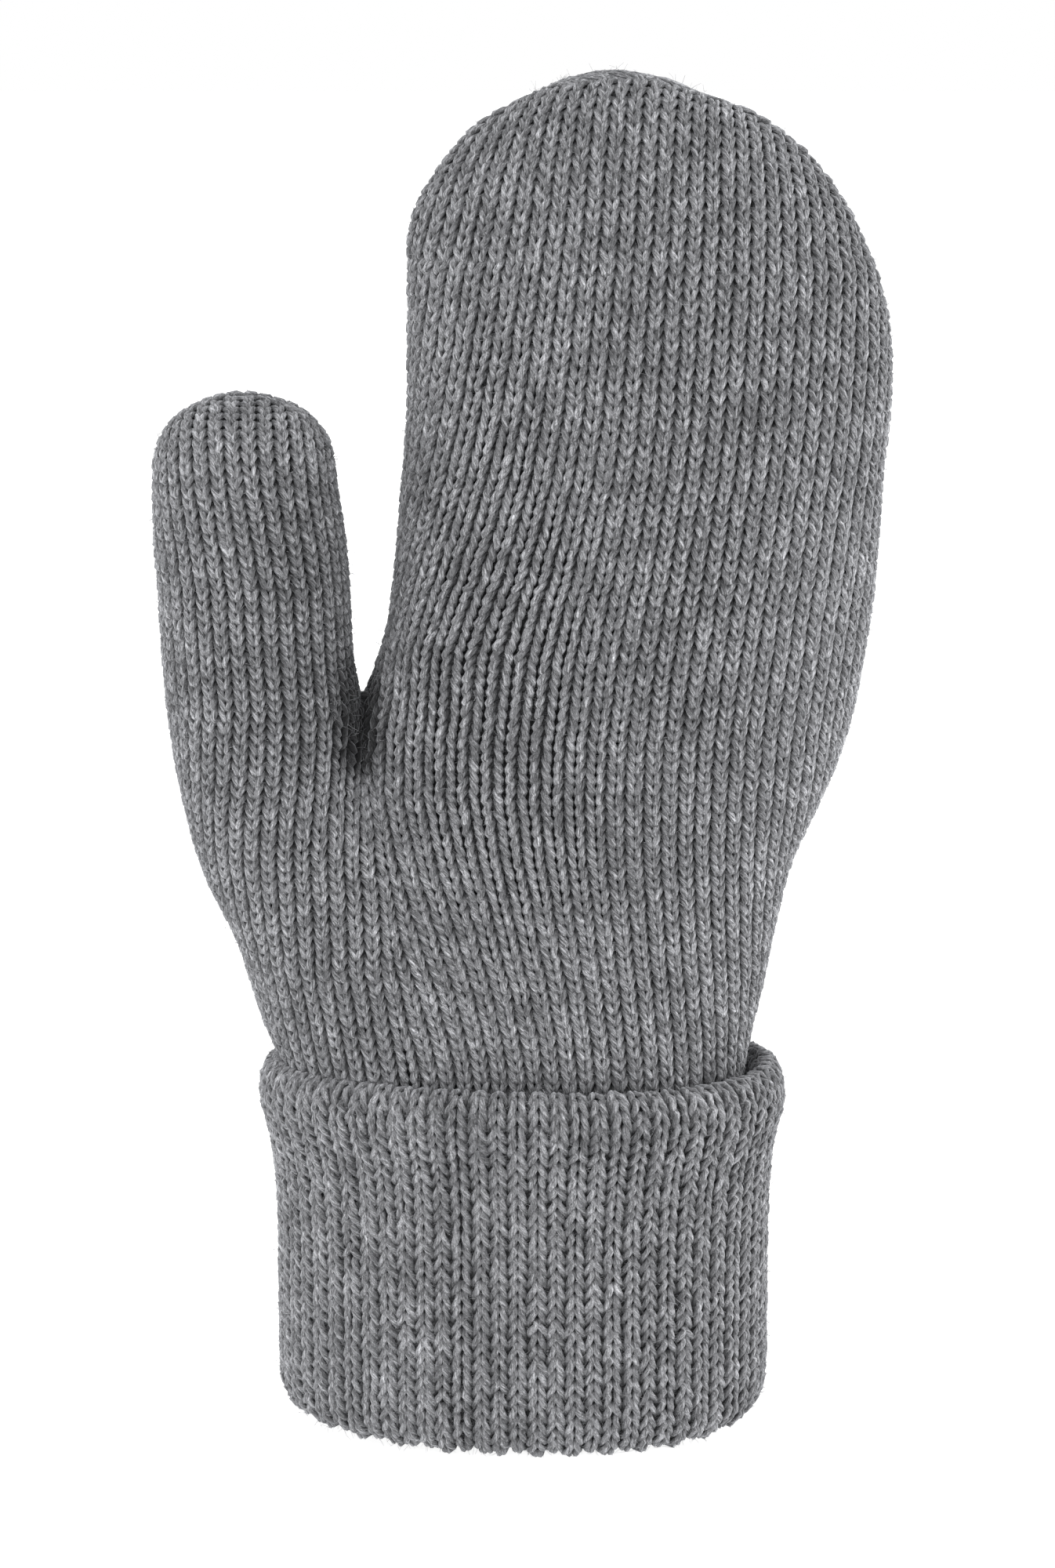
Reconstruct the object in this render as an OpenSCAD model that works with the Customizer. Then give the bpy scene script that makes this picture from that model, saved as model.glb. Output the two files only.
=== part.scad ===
// Chunky knitted wool mitten for a left hand, standing on its turned-up cuff.
// The origin is at the centre of the footprint. +Z runs to the fingertips,
// the palm faces -Y and the thumb is on the -X side. All lengths are in millimetres.

/* [Fabric] */
// Thickness of one layer of the knitted fabric
fabric_t = 3; // [2.4:0.1:3.6]
// Thickness of the yarn
yarn_d = 1.8; // [1.4:0.1:2.4]
// How square the cross-sections are: 2 is an ellipse
squareness = 2.4; // [2:0.1:2.8]

/* [Hand] */
// Height of the fingertips over the hem
hand_top = 262; // [255:1:270]
// Half depth of the hand where it leaves the cuff
wrist_half_depth = 23.5; // [22.5:0.1:23.8]
// Half depth of the hand at the knuckles
knuckle_half_depth = 20.5; // [19:0.5:22]

/* [Thumb] */
// How far the thumb stands forward of the middle of the hand
thumb_forward = 8; // [6:0.5:9]
// Half width of the thumb
thumb_half_width = 18.3; // [17.6:0.1:18.6]
// Half depth of the thumb
thumb_half_depth = 16.6; // [15.6:0.1:17]

/* [Cuff] */
// Half width of the turned-up cuff
cuff_half_width = 48.2; // [48:0.1:49]
// Half depth of the turned-up cuff
cuff_half_depth = 26.9; // [26.6:0.1:27.2]
// Height at which the rolled edge begins
roll_z = 62; // [61:0.5:63]
// Height of the rolled edge
roll_h = 11.5; // [10:0.5:11.5]
// How far the rolled edge stands out from the cuff
roll_proud = 2.9; // [2:0.1:3.2]
// How far the hem rises at the two sides of the cuff
hem_rise = 7.5; // [5:0.5:9]
// How far the hem's lowest stretch is pressed flat
hem_flat = 0.8; // [0.5:0.1:1]

/* [Joints] */
// Height of the wrist's bending axis, which runs along X
wrist_axis_z = 88; // [87:0.5:89]
// Height of the knuckles' bending axis, which runs along X
knuckle_axis_z = 178; // [176:0.5:182]
// Place of the thumb's swinging axis, which runs along Y
thumb_axis_x = -48.5; // [-49:0.5:-48]
// Height of the thumb's swinging axis
thumb_axis_z = 128; // [127:0.5:129]
// Clearance left between two sections that bend against each other
joint_gap = 0.5; // [0.4:0.1:0.8]

/* [Hidden] */

heather = [0.47, 0.47, 0.48];
heather_light = [0.55, 0.55, 0.56];
heather_dark = [0.40, 0.40, 0.41];

ring_points = 56;       // points around each cross-section
slice_t = 0.01;         // thickness of the thin slices that a skin is stretched over
bend_r = 27;            // radius of the turning surface at the wrist and the knuckles
thumb_r = 28;           // radius of the turning surface at the thumb's base
far = 400;              // longer than the whole mitten
palm_bottom = 70;       // lower edge of the hand inside the cuff
cuff_inset = 0.4;       // clearance between the two layers of the cuff
hem_h = 6;              // height of the folded hem
hem_power = 1.2;        // how quickly the hem rises towards the sides
roll_side = 4.7;        // width of the rolled edge, from inside to outside

// Outer edges of the hand, as [height, x]: the thumb's side, then the other side.
hand_left = [[57, -42], [66, -42.6], [74, -44.6], [82, -48.8], [92, -49.6], [106, -47.6],
             [120, -42.6], [133, -36], [145, -29.8], [160, -25.6], [180, -23.4], [200, -22],
             [224, -21.9], [232, -21.4], [240, -18.2], [247, -13], [253, -6], [258, 2.5],
             [hand_top, 12.5]];
hand_right = [[57, 42], [66, 42.6], [76, 43.8], [88, 46.8], [100, 49], [112, 52],
              [122, 56.3], [133, 60.8], [147, 64.3], [165, 66.8], [185, 68.2], [204, 69.4],
              [218, 68], [230, 63.8], [240, 57.8], [248, 50.6], [254, 42.4], [258, 33],
              [hand_top, 20]];
// Half depth of the hand, as [height, half depth].
hand_depth = [[57, 21.6], [66, 22], [76, wrist_half_depth], [100, 23], [150, 21.6],
              [knuckle_axis_z, knuckle_half_depth], [205, 19], [225, 16.6], [238, 13.8],
              [248, 11.2], [255, 8.6], [259, 6.4], [hand_top, 3.6]];
// Middle of the thumb and its gusset, as [height, x], and how far they stand forward.
thumb_mid_x = [[78, -26], [96, -32], [112, -40.5], [126, -46.2], [145, -49.3], [170, -50.6],
               [186, -51.8], [203, -52]];
thumb_mid_y = [[78, -1], [96, -0.4 * thumb_forward], [126, -0.9 * thumb_forward],
               [145, -thumb_forward], [203, -thumb_forward]];
// Half width and half depth of the thumb and its gusset, as [height, half size].
thumb_wide = [[78, 22], [96, 23], [112, 21.4], [126, 19.3], [145, thumb_half_width],
              [172, thumb_half_width - 0.1], [186, 17.3], [193, 16.3], [197.5, 13.6],
              [200.5, 9.6], [202.6, 4.4]];
thumb_deep = [[78, 20.5], [96, 20], [112, 19.2], [126, 18.2], [145, thumb_half_depth + 0.4],
              [172, thumb_half_depth], [186, 15.8], [193, 14.6], [197.5, 12], [200.5, 8.4],
              [202.6, 3.8]];

hand_heights = [57, 66, 72, 78, 86, 96, 108, 120, 133, 146, 160, 175, 190, 205, 217, 226, 233,
                240, 246, 251, 255, 258, 260.4, hand_top];
thumb_heights = [78, 88, 98, 108, 118, 128, 138, 148, 160, 172, 182, 188, 193, 197, 200, 202.6];

// ---------- curves ----------

// Slope of the table t at its point i.
function slope(t, i) =
    let (a = t[max(i - 1, 0)], b = t[min(i + 1, len(t) - 1)]) (b[1] - a[1]) / (b[0] - a[0]);

// The table's stretch that holds the height z.
function stretch(t, z, i = 0) = i >= len(t) - 2 || z < t[i + 1][0] ? i : stretch(t, z, i + 1);

// A smooth curve through the table t, read at the height z.
function curve(t, z) =
    let (i = stretch(t, z), h = t[i + 1][0] - t[i][0],
         u = min(max((z - t[i][0]) / h, 0), 1), v = 1 - u)
    t[i][1] * v * v * (1 + 2 * u) + t[i + 1][1] * u * u * (3 - 2 * u)
    + h * u * v * (v * slope(t, i) - u * slope(t, i + 1));

// A power that keeps the sign.
function signed_pow(v, p) = sign(v) * pow(abs(v), p);

// The direction, from -1 to 1 each way, of a rounded cross-section at the angle a.
function around(a) = [signed_pow(cos(a), 2 / squareness), signed_pow(sin(a), 2 / squareness)];

// Outline of a cross-section with the given half width and half depth.
function outline(w, d) =
    [for (i = [0:ring_points - 1]) let (p = around(360 * i / ring_points)) [w * p[0], d * p[1]]];

// How far the hem stands over its lowest point, in the direction a.
function hem_at(a) = hem_rise * pow(1 - abs(around(a)[1]), hem_power);

// ---------- building blocks ----------

// A skin stretched over slices: each is [x, y, z, half width, half depth].
module skin(slices) {
    for (i = [0:len(slices) - 2])
        hull() {
            slice(slices[i]);
            slice(slices[i + 1]);
        }
}

module slice(s) {
    translate([s[0], s[1], s[2]])
        linear_extrude(height = slice_t)
            polygon(outline(s[3], s[4]));
}

// The hand without its thumb, smaller by the given inset on every side.
module hand_body(inset) {
    skin([for (z = hand_heights)
        let (l = curve(hand_left, z) + inset, r = curve(hand_right, z) - inset,
             lift = z > 200 ? (z - 200) / (hand_top - 200) * inset : 0)
        [(l + r) / 2, 0, inset > 0 && z == hand_heights[0] ? z - 1 : z - lift,
         (r - l) / 2, max(curve(hand_depth, z) - inset, 0.8)]]);
}

// The thumb with its gusset, smaller by the given inset on every side.
module thumb_body(inset) {
    skin([for (z = thumb_heights)
        let (lift = z > 160 ? (z - 160) / 40 * inset : 0)
        [curve(thumb_mid_x, z), curve(thumb_mid_y, z), z - lift,
         max(curve(thumb_wide, z) - inset, 1), max(curve(thumb_deep, z) - inset, 0.8)]]);
}

// The knitted hand and thumb as one hollow shell, open at the wrist.
module mitten_shell() {
    difference() {
        union() {
            hand_body(0);
            thumb_body(0);
        }
        hand_body(fabric_t);
        thumb_body(fabric_t);
    }
}

// Everything that turns at the wrist: the round turning surface and all above it.
module hand_zone() {
    translate([0, 0, wrist_axis_z])
        rotate([0, 90, 0])
            cylinder(r = bend_r, h = far, center = true, $fn = 72);
    translate([-far / 2, -far / 2, wrist_axis_z])
        cube([far, far, far]);
}

// Everything under the hand's lower edge at its two sides.
module below_the_hand() {
    translate([-far / 2, -far / 2, palm_bottom - far])
        cube([far, far, far]);
}

// Everything that turns at the knuckles: the round turning surface and all above it.
module finger_zone(gap) {
    translate([0, 0, knuckle_axis_z])
        rotate([0, 90, 0])
            cylinder(r = bend_r + gap, h = far, center = true, $fn = 72);
    translate([-far / 2, -far / 2, knuckle_axis_z])
        cube([far, far, far]);
}

// Everything that swings with the thumb: the round turning surface and the thumb over it.
module thumb_zone(gap) {
    translate([thumb_axis_x, 0, thumb_axis_z])
        rotate([90, 0, 0])
            cylinder(r = thumb_r + gap, h = far, center = true, $fn = 72);
    translate([-far, -far / 2, thumb_axis_z])
        cube([far - 30 + gap, far, far]);
}

// A closed wall between two stacks of rings, each ring a list of points.
module ring_wall(rings) {
    n = len(rings[0]);
    m = len(rings);
    polyhedron(
        points = [for (r = rings) each r],
        faces = [for (j = [0:m - 1], i = [0:n - 1])
            let (a = j * n, b = (j + 1) % m * n, k = (i + 1) % n)
            each [[a + i, b + i, b + k], [a + i, b + k, a + k]]]
    );
}

// One ring around the cuff: its size, its height, and how much of the hem's rise it follows.
function cuff_ring(w, d, z, follow) =
    [for (i = [0:ring_points - 1])
        let (a = 360 * i / ring_points, p = around(a))
        [w * p[0], d * p[1], z + follow * hem_at(a)]];

// Height of the inner cuff's upper edge: it stays clear of the wrist's turning surface.
function cuff_edge(y) = wrist_axis_z - sqrt(pow(bend_r + joint_gap, 2) - y * y);

function inner_cuff_top(w, d) =
    [for (i = [0:ring_points - 1])
        let (p = around(360 * i / ring_points))
        [w * p[0], d * p[1], cuff_edge(d * p[1])]];

// ---------- the cuff ----------

inner_w = cuff_half_width - fabric_t - cuff_inset;
inner_d = cuff_half_depth - fabric_t - cuff_inset;

// The layer of the cuff that lies against the wrist.
module inner_cuff() {
    color(heather_dark)
        ring_wall([
            cuff_ring(inner_w, inner_d, hem_h, 1),
            cuff_ring(inner_w, inner_d, 30, 0.4),
            inner_cuff_top(inner_w, inner_d),
            inner_cuff_top(inner_w - fabric_t, inner_d - fabric_t),
            cuff_ring(inner_w - fabric_t, inner_d - fabric_t, 30, 0.4),
            cuff_ring(inner_w - fabric_t, inner_d - fabric_t, hem_h, 1)
        ]);
}

// The layer that is folded up over it, a little wider towards its rolled edge.
module turned_up_cuff() {
    flare = 0.9;
    color(heather)
        ring_wall([
            cuff_ring(cuff_half_width, cuff_half_depth, hem_h, 1),
            cuff_ring(cuff_half_width, cuff_half_depth, 22, 0.6),
            cuff_ring(cuff_half_width, cuff_half_depth, 44, 0.2),
            cuff_ring(cuff_half_width + flare, cuff_half_depth + flare, 56, 0.05),
            cuff_ring(cuff_half_width + flare, cuff_half_depth + flare, roll_z, 0),
            cuff_ring(cuff_half_width - fabric_t + flare, cuff_half_depth - fabric_t + flare,
                      roll_z, 0),
            cuff_ring(cuff_half_width - fabric_t, cuff_half_depth - fabric_t, 44, 0.2),
            cuff_ring(cuff_half_width - fabric_t, cuff_half_depth - fabric_t, 22, 0.6),
            cuff_ring(cuff_half_width - fabric_t, cuff_half_depth - fabric_t, hem_h, 1)
        ]);
}

// The fat edge where the fabric curls outwards, flat where it sits on the cuff.
module rolled_edge() {
    steps = 10;
    mid = cuff_half_width + roll_proud - roll_side / 2;
    mid_d = cuff_half_depth + roll_proud - roll_side / 2 - 0.7;
    color(heather_light)
        ring_wall([for (j = [0:steps])
            let (a = -25 + 230 * j / steps, half = roll_h / (1 + sin(25)))
            cuff_ring(mid + cos(a) * roll_side / 2, mid_d + cos(a) * roll_side / 2,
                      roll_z + half * (sin(a) + sin(25)), 0)]);
}

// The fold at the bottom, where the fabric turns from the inner layer to the outer one.
module hem_fold() {
    steps = 10;
    half = (cuff_half_width - inner_w + fabric_t) / 2;
    color(heather)
        ring_wall([for (j = [steps:-1:0])
            let (a = 180 + 180 * j / steps,
                 w = cuff_half_width - half - cos(a) * half,
                 d = cuff_half_depth - half - cos(a) * half)
            [for (p = cuff_ring(w, d, hem_h - (hem_h + hem_flat) * abs(sin(a)), 1))
                [p[0], p[1], max(p[2], 0)]]]);
}

// ---------- the hand ----------

// Lower hand with the thumb's gusset, up to the knuckles.
module palm_and_back() {
    color(heather)
        difference() {
            intersection() {
                mitten_shell();
                hand_zone();
            }
            below_the_hand();
            finger_zone(joint_gap);
            thumb_zone(joint_gap);
        }
}

// The closed pocket over the fingers.
module finger_pocket() {
    color(heather)
        difference() {
            intersection() {
                mitten_shell();
                finger_zone(0);
            }
            thumb_zone(joint_gap);
        }
}

// The closed tube over the thumb, with the part of the gusset that swings with it.
module thumb_stall() {
    color(heather)
        intersection() {
            mitten_shell();
            thumb_zone(0);
        }
}

// ---------- closing yarns ----------

// A length of yarn along a list of points.
module yarn(points, closed = false) {
    last = len(points) - (closed ? 1 : 2);
    for (i = [0:last])
        hull() {
            translate(points[i]) sphere(d = yarn_d, $fn = 10);
            translate(points[(i + 1) % len(points)]) sphere(d = yarn_d, $fn = 10);
        }
}

// The yarn that grafts the two halves together inside the fingertips.
module fingertip_closing() {
    stitches = 9;
    graft_z = hand_top - 10;
    color(heather_dark)
        yarn([for (i = [0:stitches]) [6 + 24 * i / stitches, i % 2 ? 0.8 : -0.8,
              graft_z - pow(i / stitches - 0.45, 2) * 8]]);
}

// The yarn of the round where the thumb is picked up, on the inside.
module thumb_join_yarn() {
    join_z = 149;
    steps = 20;
    inset = fabric_t + yarn_d / 2 + 0.1;
    color(heather_dark)
        yarn([for (i = [0:steps - 1])
            let (p = around(360 * i / steps))
            [curve(thumb_mid_x, join_z) + (curve(thumb_wide, join_z) - inset) * p[0],
             curve(thumb_mid_y, join_z) + (curve(thumb_deep, join_z) - inset) * p[1],
             join_z]], closed = true);
}

// The yarn that draws the last stitches of the thumb together, on the inside.
module thumb_tip_closing() {
    gather_r = 3;
    gather_z = 195.5;
    color(heather_dark)
        translate([curve(thumb_mid_x, gather_z), curve(thumb_mid_y, gather_z), gather_z])
            rotate_extrude($fn = 48)
                translate([gather_r, 0])
                    circle(d = yarn_d, $fn = 24);
}

inner_cuff();
turned_up_cuff();
rolled_edge();
hem_fold();
palm_and_back();
finger_pocket();
fingertip_closing();
thumb_stall();
thumb_join_yarn();
thumb_tip_closing();
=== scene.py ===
import math

import bpy
import numpy as np
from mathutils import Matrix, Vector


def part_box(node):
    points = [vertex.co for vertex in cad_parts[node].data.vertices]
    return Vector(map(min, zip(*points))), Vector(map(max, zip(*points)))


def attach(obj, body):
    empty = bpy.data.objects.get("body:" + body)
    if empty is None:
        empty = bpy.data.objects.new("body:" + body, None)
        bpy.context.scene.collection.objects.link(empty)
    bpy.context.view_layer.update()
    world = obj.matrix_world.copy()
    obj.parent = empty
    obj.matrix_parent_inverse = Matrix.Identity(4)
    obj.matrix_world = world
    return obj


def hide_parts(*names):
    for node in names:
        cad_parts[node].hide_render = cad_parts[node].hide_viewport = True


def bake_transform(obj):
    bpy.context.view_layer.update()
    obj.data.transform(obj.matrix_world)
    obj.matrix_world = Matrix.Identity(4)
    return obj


# A knitted mitten, stitch by stitch. Lengths in this script are millimetres in the row frame;
# they become metres when a mesh is made. A wale is an upright column of stitches, a course is one
# round of them, and a skin is the surface that the middle of the stitches follows.
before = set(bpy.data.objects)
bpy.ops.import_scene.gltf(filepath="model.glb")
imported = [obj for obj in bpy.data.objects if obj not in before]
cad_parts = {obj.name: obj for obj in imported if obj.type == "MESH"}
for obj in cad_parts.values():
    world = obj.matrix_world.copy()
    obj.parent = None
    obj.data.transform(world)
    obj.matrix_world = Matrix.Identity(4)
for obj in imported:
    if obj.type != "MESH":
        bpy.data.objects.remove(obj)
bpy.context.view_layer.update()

SEED = 11
SEGMENTS = 14     # points along the yarn of one stitch
SIDES = 7          # points around the yarn
RING = 720                              # points around a cross-section
RAYS = 1440                             # points of a cross-section before they are spaced evenly
YARN_OUT = 1.35                         # from the middle of the stitches to the fabric's outer side
END = 999                               # a level past the end of any skin
TURN = 2 * math.pi
TINY = 1e-9
rng = np.random.default_rng(SEED)


# ---------- helpers ----------

def table(points, z):
    """A smooth curve through (height, value) points."""
    p = np.array(points, float)
    t = np.clip(z, p[0, 0], p[-1, 0])
    slope = np.empty(len(p))
    slope[1:-1] = (p[2:, 1] - p[:-2, 1]) / (p[2:, 0] - p[:-2, 0])
    slope[0] = (p[1, 1] - p[0, 1]) / (p[1, 0] - p[0, 0])
    slope[-1] = (p[-1, 1] - p[-2, 1]) / (p[-1, 0] - p[-2, 0])
    i = np.clip(np.searchsorted(p[:, 0], t, side="right") - 1, 0, len(p) - 2)
    h = p[i + 1, 0] - p[i, 0]
    u = (t - p[i, 0]) / h
    v = 1 - u
    return (p[i, 1] * v * v * (1 + 2 * u) + p[i + 1, 1] * u * u * (3 - 2 * u)
            + h * u * v * (v * slope[i] - u * slope[i + 1]))


def straight(points, z):
    """Straight lines through (height, value) points."""
    return np.interp(z, *zip(*points))


def climb(v, lo, hi):
    """0 below lo, 1 above hi, and an even rise between them."""
    return np.clip((v - lo) / (hi - lo), 0, 1)


def bell(v, middle, width):
    """1 at the middle, falling smoothly to 0 on both sides."""
    return np.exp(-((v - middle) / width) ** 2)


def unit(v):
    """The vectors at length 1."""
    return v / np.maximum(np.linalg.norm(v, axis=-1, keepdims=True), TINY)


def arc_of(line):
    """Distance along a line at each of its points."""
    return np.concatenate([[0], np.cumsum(np.linalg.norm(np.diff(line, axis=0), axis=1))])


def points_at(line, arc, at):
    """The points of a line at the distances in at."""
    return np.stack([np.interp(at, arc, column) for column in line.T], 1)


def resample(ring):
    """The closed line's points, evenly spaced."""
    ring = np.vstack([ring, ring[:1]])
    arc = arc_of(ring)
    return points_at(ring, arc, np.linspace(0, arc[-1], RING, endpoint=False))


# ---------- the mitten's shape ----------

# Edges, middle lines and half sizes as (height, value). The left edge is the thumb's side.
HAND_TOP = 1000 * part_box("finger_pocket")[1].z
THUMB_TOP = 203
HAND_LEFT = [(57, -41), (66, -41.6), (74, -44), (82, -47.6), (92, -49), (106, -47.6), (120, -42.6),
             (133, -36.5), (145, -30.2), (152, -27.6), (160, -25.6), (180, -23.5), (200, -22), (224, -21.8),
             (231, -21.8), (235, -20.6), (240, -18.3), (247, -13.4), (253, -7), (258, 3), (HAND_TOP, 14)]
HAND_RIGHT = [(57, 42), (66, 42.6), (76, 43.9), (88, 46.6), (100, 49), (112, 51.8), (122, 56.2),
              (133, 60.8), (147, 64.3), (165, 66.8), (185, 68.1), (204, 69.5), (218, 68.2), (230, 63.9),
              (240, 58.3), (248, 51.6), (254, 42.8), (258, 30.6), (HAND_TOP, 18)]
HAND_DEPTH = [(57, 21.6), (66, 22), (76, 23.4), (100, 23), (150, 21.6), (178, 20.5), (205, 19), (225, 16.6),
              (238, 13.8), (248, 11.1), (254, 8.8), (258, 6.4), (260.4, 4.3), (261.6, 2.5), (HAND_TOP, 1.4)]
THUMB_X = [(62, -22), (70, -23.5), (78, -26), (96, -32), (112, -40.5), (126, -46.2), (145, -49.3),
           (170, -50.6), (186, -51.8), (THUMB_TOP, -52)]
THUMB_Y = [(78, -1), (96, -3.2), (126, -7.2), (145, -8), (THUMB_TOP, -8)]
THUMB_WIDE = [(62, 18), (70, 19.8), (78, 21.4), (96, 22.2), (112, 20.7), (126, 18.5), (145, 18.1),
              (172, 18.2), (186, 17.4), (193, 16.4), (197.5, 13.8), (200.5, 9.8), (202.2, 5.6),
              (THUMB_TOP, 1.5)]
THUMB_DEEP = [(62, 17), (78, 20.5), (96, 20), (112, 19.2), (126, 18.2), (145, 17), (172, 16.6),
              (186, 15.8), (193, 14.6), (197.5, 12), (200.5, 8.4), (202.2, 4.9), (THUMB_TOP, 1.5)]
NECK = np.array([-30.6, -5.0])          # a point inside both hand and thumb under the crotch
CROTCH = 144.0                          # height at which the rounds part into hand and thumb
THINNEST = 0.4                          # least half size of a cross-section
FARTHEST = 150.0                        # farther from NECK than any edge
DROOP, DROOP_FROM = 4, 236


def oval(cx, cy, w, d, e, z, sag=0.0):
    """A rounded cross-section that starts at the -X edge and runs over the front first."""
    a = math.pi + np.linspace(0, TURN, RAYS, endpoint=False)
    c, s = np.cos(a), np.sin(a)
    u = np.sign(c) * np.abs(c) ** (2 / e)
    y = cy + d * np.sign(s) * np.abs(s) ** (2 / e)
    return resample(np.stack([cx + w * u, y, z - sag * u * u], 1))


def reach(cx, cy, w, d, e, a):
    """How far each ray from NECK runs before it leaves an oval, found by halving."""
    lo, hi = np.zeros_like(a), np.full_like(a, FARTHEST)
    c, s = np.cos(a), np.sin(a)
    for _ in range(32):
        m = (lo + hi) / 2
        f = np.abs((NECK[0] + m * c - cx) / w) ** e + np.abs((NECK[1] + m * s - cy) / d) ** e
        lo, hi = np.where(f < 1, m, lo), np.where(f < 1, hi, m)
    return lo


def droop(z):
    """How far a round of stitches near the fingertips hangs down towards its two sides."""
    t = climb(z, DROOP_FROM, HAND_TOP)
    return DROOP * t * t * (3 - 2 * t)


def hand_oval(z):
    """The hand's cross-section: centre, half sizes and squareness."""
    tip = climb(z, 232, 260)
    z, side = z + YARN_OUT * tip, YARN_OUT * (1 - 0.4 * tip)
    left, right = table(HAND_LEFT, z - droop(z)) + side, table(HAND_RIGHT, z - droop(z)) - side
    wide = max((right - left) / 2, THINNEST)
    deep = max(table(HAND_DEPTH, z) - YARN_OUT, THINNEST)
    return (left + right) / 2, 0.0, wide, deep, np.interp(z, [200, 250], [2.35, 1.95])


def thumb_oval(z):
    """The thumb's cross-section in the same terms; it leans on the hand at the crotch."""
    snug = 0.35 * bell(z, 146, 5)
    z = z + YARN_OUT * climb(z, 190, 201)
    wide = max(table(THUMB_WIDE, z) - YARN_OUT + snug, THINNEST)
    deep = max(table(THUMB_DEEP, z) - YARN_OUT, THINNEST)
    return table(THUMB_X, z) + snug, table(THUMB_Y, z), wide, deep, 2.25


def joined_ring(z):
    """Hand and thumb as one cross-section, with a soft crease where they meet."""
    a = np.linspace(0, TURN, RAYS, endpoint=False)
    hand, thumb = reach(*hand_oval(z), a), reach(*thumb_oval(z), a)
    soft = np.interp(z, [100, 130, 145], [9, 5, 2])
    h = np.maximum(soft - np.abs(hand - thumb), 0) / soft
    r = np.maximum(hand, thumb) + h * h * soft / 4
    narrow = np.interp(z, [128, 136, 143], [0.42, 0.32, 0.13])
    pit = bell(np.abs(a - math.pi), math.pi / 2, narrow)
    r = r * (1 - 0.55 * np.interp(z, [126, 135, 141], [0, 0.8, 1]) * pit)
    ring = np.stack([NECK[0] + r * np.cos(a), NECK[1] + r * np.sin(a), np.full_like(r, z)], 1)
    return resample(np.roll(ring, -int(np.argmin(ring[:, 0])), 0))


class Skin:
    """A closed surface given by rings at even levels; wales and courses are laid out on it."""

    def __init__(self, levels, rings, heights=None):
        self.levels = np.array(levels)
        self.heights = self.levels if heights is None else heights
        self.p = np.array(rings)
        self.length = np.linalg.norm(np.roll(self.p, -1, 1) - self.p, axis=2).sum(1)
        self.n = unit(np.cross(np.roll(self.p, -1, 1) - np.roll(self.p, 1, 1), np.gradient(self.p, axis=0)))

    def nearest(self, level):
        """Number of the ring that is nearest to a level."""
        return int(np.argmin(np.abs(self.levels - level)))

    def look(self, i, s):
        """Points and normals of rings i at arcs s."""
        q = (s / self.length[i]) % 1.0 * RING
        a = q.astype(int)
        f = (q - a)[..., None]
        a, b = a % RING, (a + 1) % RING
        return self.p[i, a] * (1 - f) + self.p[i, b] * f, self.n[i, a] * (1 - f) + self.n[i, b] * f

    def at(self, level, left, right, g):
        """Points and normals at share g of the way from the left to the right boundaries, which
        are arrays (cell, level)."""
        t = np.interp(level, self.levels, np.arange(len(self.levels)))
        i = np.minimum(t.astype(int), len(self.levels) - 2)
        f = (t - i)[..., None]
        c = np.arange(len(left))[:, None]
        p0, n0 = self.look(i, left[c, i] * (1 - g) + right[c, i] * g)
        p1, n1 = self.look(i + 1, left[c, i + 1] * (1 - g) + right[c, i + 1] * g)
        return p0 * (1 - f) + p1 * f, unit(n0 * (1 - f) + n1 * f)


def tipped_skin(shape, lo, hi, step, sag=lambda _: 0.0):
    """A skin with a rounded tip; its levels climb along the front in even steps."""
    z = np.arange(lo, hi, 0.02)
    y = np.array([shape(t)[3] for t in z])
    s = lo + np.concatenate([[0], np.cumsum(np.hypot(np.diff(z), np.diff(y)))])
    levels = np.arange(lo, s[-1], step)
    heights = np.interp(levels, s, z)
    return Skin(levels, [oval(*shape(t), t, sag(t)) for t in heights], heights)


joined_levels = np.arange(60, 148, 0.75)
joined_skin = Skin(joined_levels, [joined_ring(z) for z in joined_levels])
hand_skin = tipped_skin(hand_oval, 140, HAND_TOP - YARN_OUT, 0.5, lambda z: droop(z + YARN_OUT))
thumb_skin = tipped_skin(thumb_oval, 140, THUMB_TOP - YARN_OUT, 0.4)


# ---------- wales ----------

STITCH = 3.05                           # width of a stitch where wales are put in to fill a gap
PALM_WALE, EVEN_WALE, THUMB_WALE = 3.03, 3.1, 3.0
# X of one wale that stays whole from the wrist to the tip, and how much wider the palm's wales are
# in their middle, as (height, value)
ANCHOR = [(62, 26), (77, 25.6), (94, 24.2), (105, 23.2), (117, 22.5), (128, 22.4), (139, 22.9), (151, 24.3),
          (162, 25.9), (173, 27.7), (182, 29), (195, 30.7), (208, 31.6), (235, 33.2), (262, 34)]
STRETCH = [(62, 0.2), (77, 0.3), (90, 0.5), (102, 0.8), (115, 1.15), (128, 1.5), (142, 1.6), (155, 1.8),
           (168, 1.5), (182, 1.2), (195, 1.0), (208, 0.8), (222, 0.6), (235, 0.5), (262, 0.4)]
# X of the line where the thumb's own wales meet the palm's, and of the thumb wale that stays whole
GUSSET = [(62, -21), (85, -22), (100, -23.5), (115, -26), (130, -29), (146, -30.6)]
THUMB_LINE = [(62, -33), (78, -36), (95, -38.7), (118, -39.6), (145, -38.2)]
COUNTS = np.arange(-45, 46)             # numbers of the wales' edges; 0 lies on the anchor
HAND_MIDDLE, HAND_HALF = 23.5, 45.7     # about the hand's middle and half width at its widest
SPARE = 0.3                             # a wale's edge that is nearer to a stretch's end is left out
FRONT, BACK = -1, 1


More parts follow.
